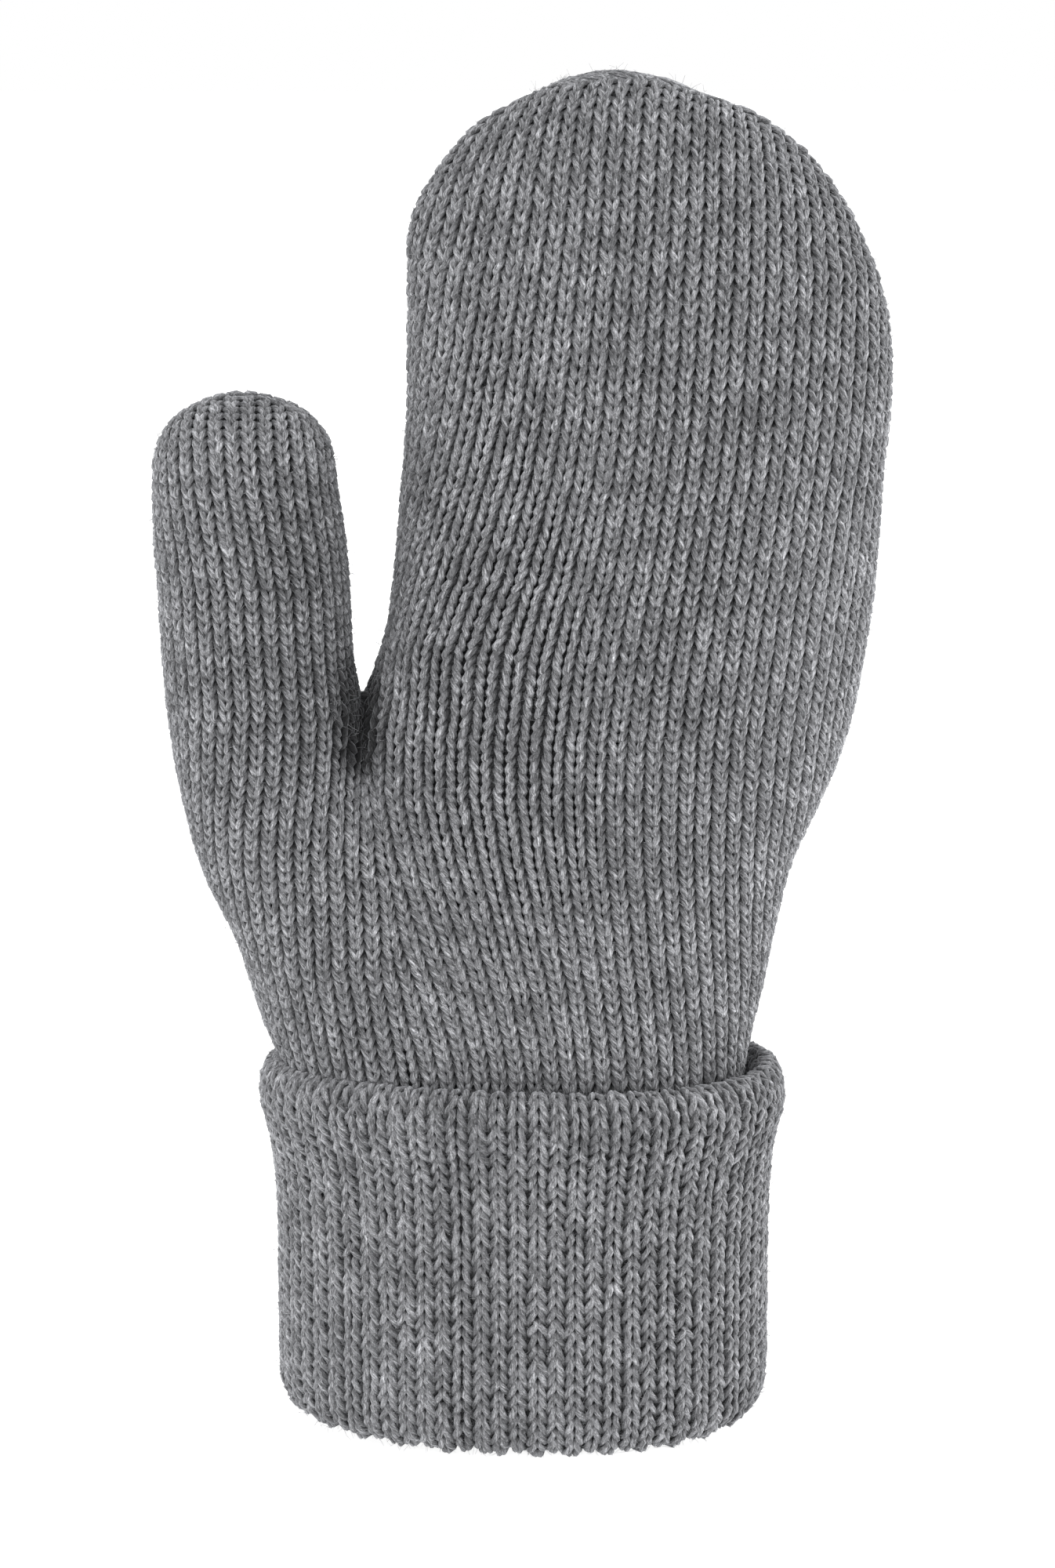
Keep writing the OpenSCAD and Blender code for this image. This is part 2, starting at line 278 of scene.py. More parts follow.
def palm_pitch(x, z):
    """Width of a wale on the palm; wales lean in along the rounded tip."""
    wide = PALM_WALE + straight(STRETCH, z) * bell(x, -4, 22)
    half = (table(HAND_RIGHT, z) - table(HAND_LEFT, z)) / 2
    gather = 0.55 * (1 - half / HAND_HALF) if z > 226 else 0
    return wide * (1 - 2 * gather * np.clip(np.abs(x - HAND_MIDDLE) / HAND_HALF, 0, 1))


def even_pitch(x, _):
    return np.full_like(x, EVEN_WALE)


def thumb_pitch(x, _):
    return np.full_like(x, THUMB_WALE)


def anchor(z):
    return straight(ANCHOR, z)


def thumb_line(z):
    return straight(THUMB_LINE, z)


def thumb_anchor(z):
    """X of the wale in the middle of the thumb stall."""
    return float(table(THUMB_X, z)) - 0.07 * max(z - 168, 0)


def folded(z):
    """How far the wales ignore the crease between hand and thumb, from 0 to 1."""
    return np.interp(z, [112, 135], [0, 0.8])


def field(skin, anchor, pitch, first, last, crease=lambda _: 0, shift=0.0):
    """Wales over one stretch of the ring, from arc first(level) to last(level): the boundaries'
    places at every level, and the wale numbers at the stretch's two ends."""
    past, close, step = 24, 3, 0.25
    lines, ends = np.zeros((len(COUNTS), len(skin.levels))), np.zeros((2, len(skin.levels)))
    for i, z in enumerate(skin.heights):
        lo, hi = first[i], last[i]
        s = np.arange(lo - past, hi + past, step)
        p, _ = skin.look(np.full(len(s), i), s)
        dx, dy = np.gradient(p[:, 0]), np.gradient(p[:, 1])
        c = 1 - crease(z) * bell(p[:, 0], NECK[0], 6.5)
        k = np.cumsum(np.sqrt(dx ** 2 + (c * dy) ** 2) / pitch(p[:, 0], z))
        near = (s > lo - close) & (s < hi + close)
        at = np.argmin(np.abs(p[near, 0] - anchor(z)))
        k += shift - k[near][at]
        lines[:, i] = np.interp(COUNTS, k, s)
        ends[:, i] = np.interp(lo, s, k), np.interp(hi, s, k)
    return lines, ends


def cells_of(skin, fields, level):
    """Left and right boundary of every stitch of one course, as arrays (cell, level)."""
    i = skin.nearest(level)
    groups = []
    for lines, ends in fields:
        start, stop = math.ceil(ends[0, i] + SPARE), math.floor(ends[1, i] - SPARE) + 1
        if start < stop:
            groups.append([lines[m] for m in np.arange(start, stop) - COUNTS[0]])
    if len(groups) < 2:
        count = max(4, int(round(skin.length[i] / STITCH)))
        lines = [skin.length * m / count for m in range(count + 1)]
    else:
        lines = []
        following = groups[1:] + [[groups[0][0] + skin.length]]
        for group, after in zip(groups, following):
            count = max(1, int(round((after[0][i] - group[-1][i]) / STITCH)))
            lines += group
            lines += [group[-1] + (after[0] - group[-1]) * m / count for m in range(1, count)]
        lines.append(lines[0] + skin.length)
    lines = np.array(lines)
    return lines[:-1], lines[1:]


def right_edge(skin):
    """Arc at the +X edge of every ring."""
    return np.argmax(skin.p[:, :, 0], 1) * skin.length / RING


def arc_at(skin, x, side):
    """Arc on the front or the back where every ring passes x(level)."""
    out = []
    for i, z in enumerate(skin.levels):
        gap = np.abs(skin.p[i, :, 0] - x(z))
        mid = int(np.argmax(skin.p[i, :, 0]))
        at = np.argmin(gap[:mid]) if side == FRONT else mid + np.argmin(gap[mid:])
        out.append(at * skin.length[i] / RING)
    return np.array(out)


def wales_of_joined_skin():
    """Thumb and palm on the front, then palm and thumb on the back."""
    edge, end = right_edge(joined_skin), joined_skin.length
    front, back = (arc_at(joined_skin, lambda z: straight(GUSSET, z), side) for side in (FRONT, BACK))
    return [field(joined_skin, thumb_line, even_pitch, 0 * edge, front, folded),
            field(joined_skin, anchor, palm_pitch, front, edge, folded),
            field(joined_skin, anchor, even_pitch, edge, back, folded),
            field(joined_skin, thumb_line, even_pitch, back, end, folded)]


def wales_of_hand_skin():
    edge = right_edge(hand_skin)
    return [field(hand_skin, anchor, palm_pitch, 0 * edge, edge),
            field(hand_skin, anchor, even_pitch, edge, hand_skin.length)]


def wales_of_thumb_skin():
    """The thumb's wales go on from those of the joined skin, on both sides."""
    edge, i = right_edge(thumb_skin), joined_skin.nearest(CROTCH)
    stretches = ((FRONT, 0, 0 * edge, edge), (BACK, 3, edge, thumb_skin.length))
    fields = []
    for side, number, first, last in stretches:
        middle = arc_at(joined_skin, thumb_anchor, side)[i]
        shift = float(np.interp(middle, joined_wales[number][0][:, i], COUNTS))
        fields.append(field(thumb_skin, thumb_anchor, thumb_pitch, first, last, shift=shift))
    return fields


joined_wales = wales_of_joined_skin()
hand_wales = wales_of_hand_skin()
thumb_wales = wales_of_thumb_skin()


# ---------- yarn ----------

TWIST = 9                               # length of yarn for one twist of its plies
PLIES = 0.07                            # how much the plies stand out of a round yarn


def tube_faces(count, sides, closed=True):
    """Faces of a tube of count rings, and their corners' places in the unit square."""
    rows = count if closed else count - 1
    i, j = np.meshgrid(np.arange(rows), np.arange(sides), indexing="ij")
    i2, j2 = (i + 1) % count, (j + 1) % sides
    quads = np.stack([i * sides + j, i * sides + j2, i2 * sides + j2, i2 * sides + j], 2)
    uv = np.stack([np.stack([i, i, i + 1, i + 1], 2) / rows, np.stack([j, j + 1, j + 1, j], 2) / sides], 3)
    return quads.reshape(-1, 4), uv.reshape(-1, 4, 2)


def make_mesh(name, v, q, uv, material, yarn=None, rise=None):
    """An object in metres. yarn is a place along and in the yarn, and rise is painted shade: how high a
    point seems to stand, which the wool material turns into darker hollows and paler ridges.
    """
    me = bpy.data.meshes.new(name)
    me.vertices.add(len(v))
    me.vertices.foreach_set("co", (v / 1000).astype(np.float32).ravel())
    me.loops.add(q.size)
    me.loops.foreach_set("vertex_index", q.astype(np.int32).ravel())
    me.polygons.add(len(q))
    me.polygons.foreach_set("loop_start", np.arange(0, q.size, q.shape[1], dtype=np.int32))
    me.update(calc_edges=True)
    if yarn is not None:
        data = me.attributes.new("yarn", "FLOAT_VECTOR", "POINT").data
        data.foreach_set("vector", yarn.astype(np.float32).ravel())
    # rise carries painted shade for the wool material
    if rise is not None:
        data = me.attributes.new("rise", "FLOAT", "POINT").data
        data.foreach_set("value", rise.astype(np.float32))
    me.uv_layers.new(name="OFBake").data.foreach_set("uv", uv.astype(np.float32).ravel())
    me.polygons.foreach_set("use_smooth", np.ones(len(q), bool))
    me.materials.append(material)
    o = bpy.data.objects.new(name, me)
    bpy.context.scene.collection.objects.link(o)
    return o


class Yarn:
    """Collects tubes and makes one mesh of them."""

    def __init__(self):
        self.v, self.q, self.a, self.u, self.roots, self.h = [], [], [], [], [], []
        self.n = 0

    def add(self, path, normal, radius, sides, height, closed=True):
        """A tube along a path. normal points out of the fabric, and height is painted shade: how far each
        point of the path seems to stand out of the hollows, which the wool material darkens."""
        t = np.roll(path, -1, 0) - np.roll(path, 1, 0)
        if not closed:
            t[0], t[-1] = path[1] - path[0], path[-1] - path[-2]
        t = unit(t)
        b = unit(np.cross(t, normal))
        n = np.cross(b, t)
        seg = np.linalg.norm(np.roll(path, -1, 0) - path, axis=1)
        along = np.concatenate([[0], np.cumsum(seg)[:-1]])
        a = TURN * np.arange(sides) / sides
        twist = TURN / TWIST * along
        r = np.asarray(radius)[:, None] * (1 + PLIES * np.cos(2 * (a[None, :] - twist[:, None])))
        side = np.cos(a)[None, :, None] * n[:, None, :] + np.sin(a)[None, :, None] * b[:, None, :]
        w = a[None, :] + twist[:, None]
        start = rng.uniform(0, 4000)         # every round has its own stretch of the strand
        place = [np.repeat((along + start)[:, None], sides, 1), r * np.cos(w), r * np.sin(w)]
        quads, uv = tube_faces(len(path), sides, closed)
        self.q.append(quads + self.n)
        self.u.append(uv)
        self.v.append((path[:, None, :] + r[..., None] * side).reshape(-1, 3))
        self.a.append(np.stack(place, 2).reshape(-1, 3))
        self.roots.append(side.reshape(-1, 3))
        # painted shade: the outward side of each tube is painted paler than its inward side
        self.h.append((r * (side * normal[:, None, :]).sum(2) + height[:, None]).reshape(-1))
        self.n += len(path) * sides

    def mesh(self, name, material):
        """One mesh, with a band of the UV square for every tube and a gap between the bands."""
        gap, rows = 0.04, len(self.u)
        uv = [np.stack([u[..., 0], (k + gap + (1 - 2 * gap) * u[..., 1]) / rows], -1)
              for k, u in enumerate(self.u)]
        return make_mesh(name, np.concatenate(self.v), np.concatenate(self.q), np.concatenate(uv),
                         material, np.concatenate(self.a), np.concatenate(self.h))


# ---------- stitches ----------

# radius is a share of the wale's width; lean is how far a stitch's legs swing sideways, depth how
# deep it dips at its ends and at the head of its loop, tuck how far the head slips behind the next
# course; up is the way the stitch points, and jitter how uneven the knitting is.
HAND_STITCH = dict(radius=0.2, lean=0.255, depth=0.62, tuck=0.42, up=1, jitter=1.0)
CUFF_STITCH = dict(radius=0.192, lean=0.295, depth=0.52, tuck=0.36, up=-1, jitter=1.9)
WHOLE = 3.2                             # width of a wale that isn't stretched
OVERLAP = 2.05                          # height of a stitch in courses
PRESSED = 0.75                          # lowest place of the yarn's middle, where the hem stands flat
SHADE_SPAN = 1.5                            # rise at which the painted shade of a hollow is darkest and the painted highlight of a ridge palest


def hand_painted_shade(n, x, z, ridge, wide):
    """Painted shade for the hand's yarn: how far the yarn seems to stand out of the hollows, which the wool
    material turns into darker hollows and paler ridges. The painted hollows close up towards the little
    finger's side and the tips, and painted shade darkens the pit under the crotch. The last four terms make
    the outer edge and the fingertips paler, paint shade on the thumb's inner side, and make the palm beside
    that edge darker."""
    outer = climb(x, 34, 60)
    shade = n * (1 - 0.35 * outer) * (1 - 0.3 * climb(z, 228, 244))
    # painted shade: the pit under the crotch is darkened
    shade -= 2.3 * bell(x, NECK[0], 3.4) * np.interp(z, [129, 137, 147, 156], [0, 1, 1, 0])
    shade += 0.26 * (ridge - 0.25) * (1 - climb(wide, 3.1, 3.9))[:, None] * (1 - outer)
    shade += 0.3 * climb(x, 36, 58) * np.interp(z, [90, 110, 175, 200], [0, 1, 1, 0])
    # painted shade on the thumb's inner side, next to the hand
    shade -= 0.43 * bell(x, -38, 10) * np.interp(z, [125, 140, 172, 195], [0, 1, 1, 0.3])
    shade -= 0.15 * bell(x, 26, 13) * np.interp(z, [100, 120, 205, 225], [0, 1, 1, 0])
    shade += 0.17 * climb(z, 232, 244)
    return shade


def cuff_painted_shade(n, x, z, ridge, _):
    """Painted shade in the cuff's hollows, as on the hand. The cuff is felted at its thumb side and along
    its roll, so the painted shade is weaker there.
    """
    shade = n * np.interp(x, [-40, -24, -8, 14, 28, 44], [0.45, 0.6, 1.05, 1.3, 0.9, 0.65]) - 0.1 * ridge
    return shade * (1 - 0.25 * climb(z, 56, 64)) + np.interp(x, [-44, -26, -12], [0.4, 0.3, 0])


def course(yarn, skin, cells, level, height, paint_shade, radius, lean, depth, tuck, up, jitter,
           relief=0.0, detail=1):
    """One closed round of stitches at a level of the skin. height is the spacing of the courses,
    relief makes single wales stand out, and detail is a share of the usual number of points."""
    segments, sides = int(SEGMENTS * detail), int(SIDES * detail + 0.5)
    left, right = cells
    count, i = len(left), skin.nearest(level)
    th = TURN * (np.arange(segments) + 0.5) / segments
    free = (1 - np.cos(th))[None, :] / 2          # 0 where a stitch meets its neighbours

    def uneven(size):
        return jitter * rng.normal(0, size, (count, 1))

    wide = right[:, i] - left[:, i]
    lean = lean * np.clip(WHOLE / wide, 0.76, 1.04)[:, None]      # a stretched wale's legs stand apart
    off = (th / TURN - 0.5)[None, :] + (lean + uneven(0.018)) * np.sin(2 * th)
    tight = np.interp(wide, [3.0, 3.5], [0.95, 1.0])[:, None]     # a narrow wale keeps to its own room
    off = off * (tight + (1 - tight) * np.abs(2 * off) ** 8)
    off = off + uneven(0.022) * free
    swing = OVERLAP * height / 2 * (1 + uneven(0.05))
    v = -up * swing * np.cos(th)[None, :] + uneven(0.06 * height) * free
    n = -depth * np.cos(2 * th) + 2 * tuck * np.abs(np.sin(th)) * np.cos(th)
    n = n[None, :] + uneven(0.09) * free
    ridge = np.cos(TURN * off)
    n = n + relief * (ridge * 0.5 - 0.2) - 0.4 * np.cos(th)[None, :] ** 4
    lv = np.clip(level + v, skin.levels[0], skin.levels[-1])
    p, normal = skin.at(lv, left, right, 0.5 + off)
    p = p + n[..., None] * normal
    p[..., 2] = np.maximum(p[..., 2], PRESSED)
    r = 1 + 0.05 * rng.normal(0, 1, (count, 1)) + 0.04 * rng.normal(0, 1, (count, segments))
    r = radius * np.clip(wide, 2.7, 3.5)[:, None] * np.clip(r, 0.82, 1.2)
    # painted shade of these stitches' hollows and ridges, from the hand's or the cuff's shade function
    shade = paint_shade(n, p[..., 0], p[..., 2], ridge, wide)
    yarn.add(p.reshape(-1, 3), normal.reshape(-1, 3), r.reshape(-1), sides, shade.reshape(-1))


def courses(lo, hi, spacing):
    """Levels of the courses from lo to hi, and the spacing at each."""
    z, out = lo, []
    while z < hi:
        h = spacing(z)
        out.append((z, h))
        z += h
    return out


def to_the_tip(rows, start, skin, gap):
    """Spread the courses above start so that the last one closes the tip."""
    end = skin.levels[-1] - gap
    f = (end - start) / (rows[-1][0] - start)
    return [(z, h) if z < start else (start + (z - start) * f, h * f) for z, h in rows]


# ---------- materials ----------

TONE = 0.149                            # middle grey of the wool


def grey(v):
    return (v, v, v)


def cool(v):
    """A grey with a trace of blue."""
    return (v, v * 1.008, v * 1.05)


def wool(name, middle, dark, light, spun=True, bump=0.5):
    """Heathered wool: dark and light fibres, darker and lighter lengths, and soft sheen. Its tones are
    multiples of TONE. Spun wool has its fibres along the yarn, and painted shade in its hollows with
    painted highlights on its ridges."""
    m = bpy.data.materials.new(name)
    m.use_nodes = True
    nt = m.node_tree
    nt.nodes.clear()
    new, link = nt.nodes.new, nt.links.new
    out, bsdf = new("ShaderNodeOutputMaterial"), new("ShaderNodeBsdfPrincipled")
    link(bsdf.outputs[0], out.inputs[0])
    world = new("ShaderNodeTexCoord").outputs["Object"]

    def attribute(label):
        node = new("ShaderNodeAttribute")
        node.attribute_name = label
        return node

    place = attribute("yarn").outputs["Vector"] if spun else world
    per_mm = 1.0 if spun else 1000.0     # the yarn's own places are in millimetres

    def noise(vector, scale, detail, rough=0.6):
        mapping, n = new("ShaderNodeMapping"), new("ShaderNodeTexNoise")
        mapping.inputs["Scale"].default_value = scale
        link(vector, mapping.inputs["Vector"])
        n.inputs["Scale"].default_value = 1.0
        n.inputs["Detail"].default_value = detail
        n.inputs["Roughness"].default_value = rough
        link(mapping.outputs[0], n.inputs["Vector"])
        return n.outputs["Fac"]

    def fibres(along, across, detail, rough=0.6):
        return noise(place, (along * per_mm, across * per_mm, across * per_mm), detail, rough)

    def ramp(fac, *stops):
        r = new("ShaderNodeValToRGB")
        e = r.color_ramp.elements
        e[0].position, e[0].color = stops[0][0], (*stops[0][1], 1)
        e[1].position, e[1].color = stops[-1][0], (*stops[-1][1], 1)
        for position, colour in stops[1:-1]:
            e.new(position).color = (*colour, 1)
        link(fac, r.inputs[0])
        return r.outputs[0]

    def times(a, fac, *stops):
        """Colour a multiplied by a ramp of greys."""
        x = new("ShaderNodeMix")
        x.data_type = "RGBA"
        x.blend_type = "MULTIPLY"
        x.inputs[0].default_value = 1.0
        link(a, x.inputs[6])
        link(ramp(fac, *((position, grey(v)) for position, v in stops)), x.inputs[7])
        return x.outputs[2]

    tone = TONE * middle
    hair = fibres(0.42, 3.1, 3, 0.72)
    col = ramp(hair, (0.34, cool(TONE * dark)), (0.46, cool(tone * 0.75)), (0.54, cool(tone * 1.15)),
               (0.67, cool(TONE * light)))
    col = times(col, fibres(1.0, 6.5, 2), (0.33, 0.48), (0.5, 1.0), (0.67, 1.46))
    col = times(col, fibres(0.16, 0.5, 2), (0.3, 0.78), (0.5, 1.0), (0.7, 1.16))
    if spun:
        col = times(col, fibres(0.022, 0.08, 2), (0.32, 0.78), (0.5, 1.0), (0.68, 1.2))
    col = times(col, noise(world, (75, 75, 120), 3), (0.3, 0.8), (0.5, 1.0), (0.7, 1.17))
    # painted shade in the hollows and painted highlights on the ridges, read from the rise attribute
    if spun:
        span = new("ShaderNodeMapRange")
        span.inputs["From Min"].default_value = -SHADE_SPAN
        span.inputs["From Max"].default_value = SHADE_SPAN
        link(attribute("rise").outputs["Fac"], span.inputs["Value"])
        col = times(col, span.outputs[0], (0.0, 0.1), (0.4, 0.15), (0.6, 0.38), (0.73, 0.82), (0.85, 1.12),
                    (0.95, 1.28))
    link(col, bsdf.inputs["Base Color"])
    bsdf.inputs["Roughness"].default_value = 0.92
    bsdf.inputs["Specular IOR Level"].default_value = 0.2
    bsdf.inputs["Sheen Weight"].default_value = 0.35
    bsdf.inputs["Sheen Roughness"].default_value = 0.45
    bsdf.inputs["Sheen Tint"].default_value = (0.8, 0.82, 0.86, 1)
    b = new("ShaderNodeBump")
    b.inputs["Strength"].default_value = bump
    b.inputs["Distance"].default_value = 0.00035
    link(hair, b.inputs["Height"])
    link(b.outputs[0], bsdf.inputs["Normal"])
    return m


hand_wool = wool("heather_wool_hand", 1, 0.3, 2.25)
cuff_wool = wool("heather_wool_cuff", 1.1, 0.45, 2.2)
# dark wool for the ground behind the stitches: painted shade for the deeper yarn seen in the gaps
shade_ground_wool = wool("painted_shade_ground", 0.34, 0.18, 0.7, spun=False, bump=0.4)
fuzz_wool = wool("loose_fibres", 1.35, 0.6, 2.9, spun=False, bump=0.0)
inside_yarn = wool("closing_yarn", 0.9, 0.4, 1.8, spun=False, bump=0.4)


# ---------- the hand ----------

SPACING = [(64, 2.2), (110, 2.15), (115, 2.0), (140, 2.0), (142, 2.1), (185, 2.1), (191, 2.3), (262, 2.3)]
FIRST_COURSE = 64.5
THUMB_COURSE = 2.05
HAND_SPREAD, THUMB_SPREAD = 190, 170    # above these levels the courses are spread to close the tip
bands, grounds, fuzzes, yarns = {}, {}, {}, {}     # pieces by name, and the yarn of each band


def spacing(z):
    return straight(SPACING, z)


low = courses(FIRST_COURSE, CROTCH - 0.6, spacing)
after = low[-1][0] + low[-1][1]
high = courses(after, hand_skin.levels[-1] - 1.0, spacing)
high = to_the_tip(high, HAND_SPREAD, hand_skin, 1.1)
thumb = courses(after, thumb_skin.levels[-1] - 1.0, lambda _: THUMB_COURSE)
thumb = to_the_tip(thumb, THUMB_SPREAD, thumb_skin, 0.9)

for name, skin, wales, rows, lo, hi in (
        ("wrist_knit_low", joined_skin, joined_wales, low, 60, 84),
        ("wrist_knit_high", joined_skin, joined_wales, low, 84, 105),
        ("palm_knit_low", joined_skin, joined_wales, low, 105, 125),
        ("palm_knit_high", joined_skin, joined_wales, low, 125, 150),
        ("knuckle_knit_low", hand_skin, hand_wales, high, 140, 175),
        ("knuckle_knit_high", hand_skin, hand_wales, high, 175, 204),
        ("finger_knit_low", hand_skin, hand_wales, high, 204, 232),
        ("finger_knit_high", hand_skin, hand_wales, high, 232, 270),
        ("thumb_knit", thumb_skin, thumb_wales, thumb, 140, 210)):
    yarns[name] = Yarn()
    for z, h in rows:
        if lo <= z < hi:
            course(yarns[name], skin, cells_of(skin, wales, z), z, h, hand_painted_shade, **HAND_STITCH)
    bands[name] = yarns[name].mesh(name, hand_wool)


def tip_seam():
    """Two strands that join the front and the back stitch to stitch along the rounded tip."""
    start, step, stitch = 233, 0.22, 2.9
    rings = hand_skin.p[hand_skin.heights > start]
    number = np.arange(len(rings))
    left, right = rings[number, rings[..., 0].argmin(1)], rings[number, rings[..., 0].argmax(1)]
    rim = np.concatenate([left, right[::-1]])
    arc = arc_of(rim)
    at = np.arange(0, arc[-1], step)
    line = points_at(rim, arc, at)
    for _ in range(12):
        line[1:-1] = (line[:-2] + 2 * line[1:-1] + line[2:]) / 4
    out = -unit(np.cross(np.gradient(line, axis=0), (0, 1.0, 0)))
    yarn = Yarn()
    for side, phase in ((-1, 0), (1, 1.4)):
        wave = TURN * at / stitch + phase
        path = line + out * (0.35 + 0.3 * np.cos(wave))[:, None]
        path[:, 1] += side * (0.75 + 0.62 * np.sin(wave))
        radius = 0.56 + 0.05 * rng.normal(0, 1, len(path))
        normal = np.tile((0.0, float(side), 0.0), (len(path), 1))
        # the value after the radius is the strands' painted shade, paler where they stand out
        yarn.add(path, normal, radius, SIDES, 0.25 + 0.2 * np.cos(wave), closed=False)
    return yarn


yarns["finger_seam"] = tip_seam()
bands["finger_seam"] = yarns["finger_seam"].mesh("finger_seam", hand_wool)


# ---------- the dark ground behind the stitches: painted shade in their gaps ---

def ground(name, skin, lo, hi, outer=-0.75, inner=-2.4, tip=False, step=3):
    """A closed shell of two walls that follow the skin between two levels."""
    inside = (skin.levels >= lo) & (skin.levels <= hi)
    p, n = skin.p[inside][:, ::step], skin.n[inside][:, ::step]
    rows, cols = p.shape[:2]
    wall = np.concatenate([p + n * outer, (p + n * inner)[::-1]])
    if tip:      # both walls close to a line along the ridge
        middle = p[-1] * (1, 0, 1) + (0, p[-1, :, 1].mean(), 0)
        wall[rows - 1], wall[rows] = middle - (0, 0, 0.8), middle - (0, 0, 2.4)
    quads, uv = tube_faces(2 * rows, cols)
    return make_mesh(name, wall.reshape(-1, 3), quads, uv, shade_ground_wool)


for name, skin, lo, hi, tip in (("wrist_ground", joined_skin, 62.25, 104.25, False),
                                ("palm_ground", joined_skin, 104.25, 145.5, False),
                                ("knuckle_ground", hand_skin, 144.5, 204, False),
                                ("finger_ground", hand_skin, 204, END, True),
                                ("thumb_ground", thumb_skin, 144.4, END, True)):
    grounds[name] = ground(name, skin, lo, hi, tip=tip)


# ---------- the cuff ----------

CUFF_W = 48.2 - YARN_OUT - 0.1          # half sizes of the fabric's middle
CUFF_D = 26.9 - YARN_OUT - 0.1
# The middle of the fabric in section: how far out, how high, and how much it follows the hem's rise.
CUFF_LINE = [(-6.1, 63.5, 0), (-5.6, 50, 0.1), (-5.3, 30, 0.5), (-5.1, 16, 0.8), (-4.9, 9, 0.9),
             (-4.3, 4, 1), (-2.4, 1.1, 1), (-0.6, 3.2, 1), (0, 8, 0.95), (0, 22, 0.6), (0.1, 44, 0.2),
             (1.1, 56, 0.05), (2.3, 62, 0), (3.1, 66, 0), (2.6, 70, 0), (0.7, 72.2, 0), (-1.2, 70.9, 0),
             (-1.9, 67.5, 0), (-2.1, 63.5, 0)]
CUFF_WALES = 67
CUFF_COURSE = 2.45
CUFF_END = 1.2                          # from an end of the cuff's fabric to the nearest course
HEM_WAVES = 30                          # scallops around the hem


def spline(points, step):
    """A smooth line through points, evenly spaced."""
    p = np.array(points, float)
    p = np.vstack([2 * p[0] - p[1], p, 2 * p[-1] - p[-2]])
    t = np.linspace(0, 1, 24, endpoint=False)[:, None]
    parts = []
    for k in range(1, len(p) - 2):
        a, b, c, d = p[k - 1:k + 3]
        square, cube = 2 * a - 5 * b + 4 * c - d, 3 * b - a - 3 * c + d
        parts.append(0.5 * (2 * b + (c - a) * t + square * t ** 2 + cube * t ** 3))
    line = np.vstack(parts + [p[-2:-1]])
    arc = arc_of(line[:, :2])
    at = np.arange(0, arc[-1], step)
    return at, points_at(line, arc, at)


def hem_lift(x, y):
    """The hem's rise towards the sides; its lowest stretch lies a little to the +X side."""
    side = 1 - np.abs(y)
    return 5.2 * side ** 1.05 + 1.67 * np.clip(0.15 - x, 0, 1) * (1 - side) ** 0.5


def cuff_ring(o, z, follow):
    """One ring of the cuff, uneven as knitting is: a scalloped hem and a slightly wavy edge."""
    ring = oval(0, 0, CUFF_W + o, CUFF_D + o, 2.4, z)
    x, y = ring[:, 0] / (CUFF_W + o), ring[:, 1] / (CUFF_D + o)
    s = np.arange(RING) / RING
    wave = np.cos(TURN * HEM_WAVES * s + 1.7 * np.sin(TURN * 3 * s))
    near = math.exp(-max(z - 2, 0) / 5)           # how near the hem
    ring[:, 2] = z + follow * (hem_lift(x, y) - 0.35) + 0.55 * near * (wave + 1) * follow
    ring[:, 2] += (1 - follow) * (0.4 * np.sin(TURN * (2 * s + 0.13)) - 0.5 * x)
    swell = 0.005 * np.sin(TURN * (3 * s + 0.4)) * (z > 50)
    ring[:, :2] *= (1 + 0.004 * near * wave + swell)[:, None]
    return ring


cuff_levels, cuff_line = spline(CUFF_LINE, 0.5)
cuff_skin = Skin(cuff_levels, [cuff_ring(*row) for row in cuff_line])
wander = rng.normal(0, 0.05, CUFF_WALES + 1)
wander[-1] = wander[0]
cuff_lines = ((np.arange(CUFF_WALES + 1) + wander) / CUFF_WALES)[:, None] * cuff_skin.length[None, :]
rib = rng.uniform(0.0, 0.4, (CUFF_WALES, 1))       # how far each wale stands out
fold = float(cuff_levels[np.argmin(cuff_line[:, 1])])
cuff_rows = courses(CUFF_END, cuff_levels[-1] - CUFF_END, lambda _: CUFF_COURSE)
for name, lo, hi, detail in (("cuff_knit_inner", 0, fold - 7, 0.7),
                             ("cuff_knit_low", fold - 7, fold + 22, 1),
                             ("cuff_knit_mid", fold + 22, fold + 51, 1),
                             ("cuff_knit_high", fold + 51, END, 1)):
    yarns[name] = Yarn()
    for t, h in cuff_rows:
        if lo <= t < hi:
            course(yarns[name], cuff_skin, (cuff_lines[:-1], cuff_lines[1:]), t, h, cuff_painted_shade,
                   relief=rib, detail=detail, **CUFF_STITCH)
    bands[name] = yarns[name].mesh(name, cuff_wool)
grounds["cuff_ground"] = ground("cuff_ground", cuff_skin, 0, END, outer=-0.5, inner=-2.0, step=6)


# ---------- loose fibres ----------

HAIRS, THUMB_HAIRS = 16200, 12500       # fibres on one piece
HAND_HAIR, CUFF_HAIR = 1.15, 1.25       # their mean lengths
HAIR_RADIUS = 0.038
ON_FLOOR = 0.05                         # no fibre goes lower
UV_COLUMNS = 128                        # fibres beside each other in the UV square
UV_FILL = (2 / 4.2, 3 / 3.2)            # share of its own cell that a fibre fills


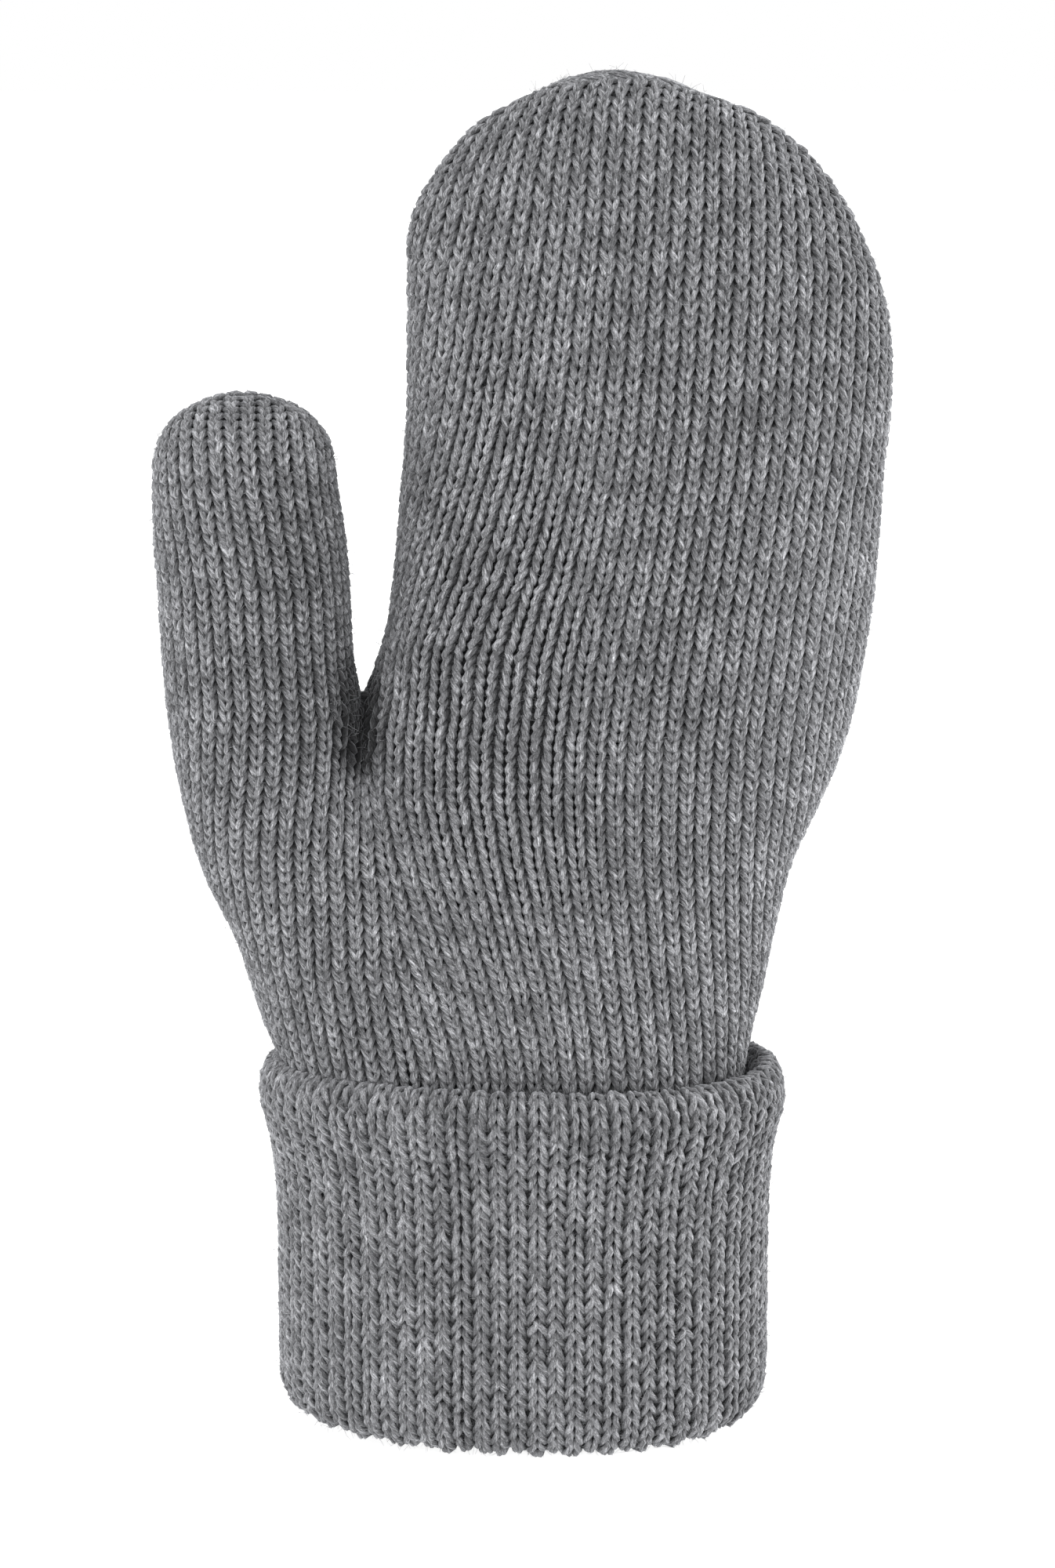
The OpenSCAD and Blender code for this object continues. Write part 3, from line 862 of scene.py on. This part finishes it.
def fuzz(name, sources, count, length):
    """Short curled fibres that stand out of the yarn, most of them nearly along the surface."""
    v = np.concatenate([np.concatenate(y.v) for y in sources])
    n = np.concatenate([np.concatenate(y.roots) for y in sources])
    pick = rng.integers(0, len(v), count)
    root, normal = v[pick], unit(n[pick])

    def flattened(vectors, share):
        """The vectors with a share of what points out of the yarn taken away."""
        return vectors - normal * (vectors * normal).sum(1, keepdims=True) * share

    wild = flattened(rng.normal(0, 1, (count, 3)), 0.8)
    d = unit(normal * rng.choice((0.2, 0.35, 0.9), (count, 1)) + wild * 0.6)
    bend = flattened(rng.normal(0, 1, (count, 3)) * 0.45, 0.7)
    size = np.clip(rng.gamma(2.2, length / 2.2, (count, 1)), 0.35, length * 2.6)[:, None]
    t = np.array([0, 0.5, 1])[None, :, None]
    path = (root - d * 0.15)[:, None] + d[:, None] * (t * size) + bend[:, None] * t ** 2 * size
    side = unit(np.cross(d, wild))
    other = np.cross(d, side)
    a = (TURN * np.arange(3) / 3)[None, None, :, None]
    r = HAIR_RADIUS * (1 - 0.55 * t)[..., None] * rng.uniform(0.8, 1.3, (count, 1, 1, 1))
    ring = np.cos(a) * side[:, None, None] + np.sin(a) * other[:, None, None]
    points = (path[:, :, None] + r * ring).reshape(-1, 3)
    points[:, 2] = np.maximum(points[:, 2], ON_FLOOR)
    quads, uv = tube_faces(3, 3, closed=False)
    k = np.arange(count)[:, None, None]
    cell = np.concatenate([k % UV_COLUMNS, k // UV_COLUMNS], 2)[:, None]
    uv = (cell + uv * UV_FILL) / (UV_COLUMNS, count // UV_COLUMNS + 1)
    return make_mesh(name, points, (9 * k + quads).reshape(-1, 4), uv, fuzz_wool)


for name, members, count, length in (
        ("wrist_fuzz", ("wrist_knit_low", "wrist_knit_high"), HAIRS, HAND_HAIR),
        ("palm_fuzz", ("palm_knit_low", "palm_knit_high"), HAIRS, HAND_HAIR),
        ("knuckle_fuzz", ("knuckle_knit_low", "knuckle_knit_high"), HAIRS, HAND_HAIR),
        ("finger_fuzz", ("finger_knit_low", "finger_knit_high", "finger_seam"), HAIRS, HAND_HAIR),
        ("thumb_fuzz", ("thumb_knit",), THUMB_HAIRS, HAND_HAIR),
        ("cuff_fuzz_low", ("cuff_knit_low",), HAIRS, CUFF_HAIR),
        ("cuff_fuzz_mid", ("cuff_knit_mid",), HAIRS, CUFF_HAIR),
        ("cuff_fuzz_high", ("cuff_knit_high",), HAIRS, CUFF_HAIR)):
    fuzzes[name] = fuzz(name, [yarns[m] for m in members], count, length)


# ---------- what moves with what ----------

for name, o in {**bands, **grounds, **fuzzes}.items():
    part = name.split("_")[0]
    if part == "wrist":
        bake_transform(o)
    elif part in ("palm", "thumb"):
        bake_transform(o)
    elif part == "knuckle":
        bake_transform(o)
    else:
        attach(o, {"finger": "fingers", "cuff": "cuff"}[part])

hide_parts("palm_and_back")
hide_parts("finger_pocket")
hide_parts("thumb_stall")
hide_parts("turned_up_cuff", "hem_fold")
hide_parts("rolled_edge")
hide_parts("inner_cuff")
for name in ("fingertip_closing", "thumb_join_yarn", "thumb_tip_closing"):
    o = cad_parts[name]
    o.data.materials.clear()
    o.data.materials.append(inside_yarn)
    for poly in o.data.polygons:
        poly.use_smooth = True


# ---------- floor, light and camera ----------

FLOOR_GREY, FLOOR_GLOW = 0.5, 0.9       # the glow keeps the shadow faint
MIDDLE = Vector((0, 0, 0.13))        # where the lights point
AIM = Vector((0.0009, 0, 0.1268))    # where the camera points
DISTANCE = 0.75
TILT = math.radians(11)


def floor_material():
    m = bpy.data.materials.new("studio_white")
    m.use_nodes = True
    b = m.node_tree.nodes["Principled BSDF"]
    b.inputs["Base Color"].default_value = (*grey(FLOOR_GREY), 1)
    b.inputs["Roughness"].default_value = 0.9
    b.inputs["Specular IOR Level"].default_value = 0.0
    b.inputs["Emission Color"].default_value = (1, 1, 1, 1)
    b.inputs["Emission Strength"].default_value = FLOOR_GLOW
    return m


def softbox(name, place, size, power):
    """An area light that points at the middle of the mitten."""
    light = bpy.data.lights.new(name, "AREA")
    light.shape = "RECTANGLE"
    light.size, light.size_y = size
    light.energy = power
    o = bpy.data.objects.new(name, light)
    bpy.context.scene.collection.objects.link(o)
    o.location = place
    o.rotation_euler = (MIDDLE - Vector(place)).to_track_quat("-Z", "Y").to_euler()


bpy.ops.mesh.primitive_plane_add(size=30, location=(0, 0, 0))
floor = bpy.context.object
floor.name = "studio_floor"
floor.data.materials.append(floor_material())

world = bpy.data.worlds.new("studio")
bpy.context.scene.world = world
world.use_nodes = True
world.node_tree.nodes["Background"].inputs[0].default_value = (1, 1, 1, 1)
world.node_tree.nodes["Background"].inputs[1].default_value = 1.0

softbox("key", (-0.35, -1.0, 1.1), (0.5, 0.5), 9)
softbox("left", (-1.1, 0.1, 0.4), (0.5, 1.0), 4.5)
softbox("right", (1.1, 0.05, 0.4), (0.5, 1.0), 14)

cam_data = bpy.data.cameras.new("camera")
cam_data.lens = 90
cam_data.sensor_width = 36
cam = bpy.data.objects.new("camera", cam_data)
bpy.context.scene.collection.objects.link(cam)
cam.location = AIM + DISTANCE * Vector((0, -math.cos(TILT), math.sin(TILT)))
cam.rotation_euler = (math.pi / 2 - TILT, 0, 0)
bpy.context.scene.camera = cam
bpy.context.scene.view_settings.view_transform = "Standard"
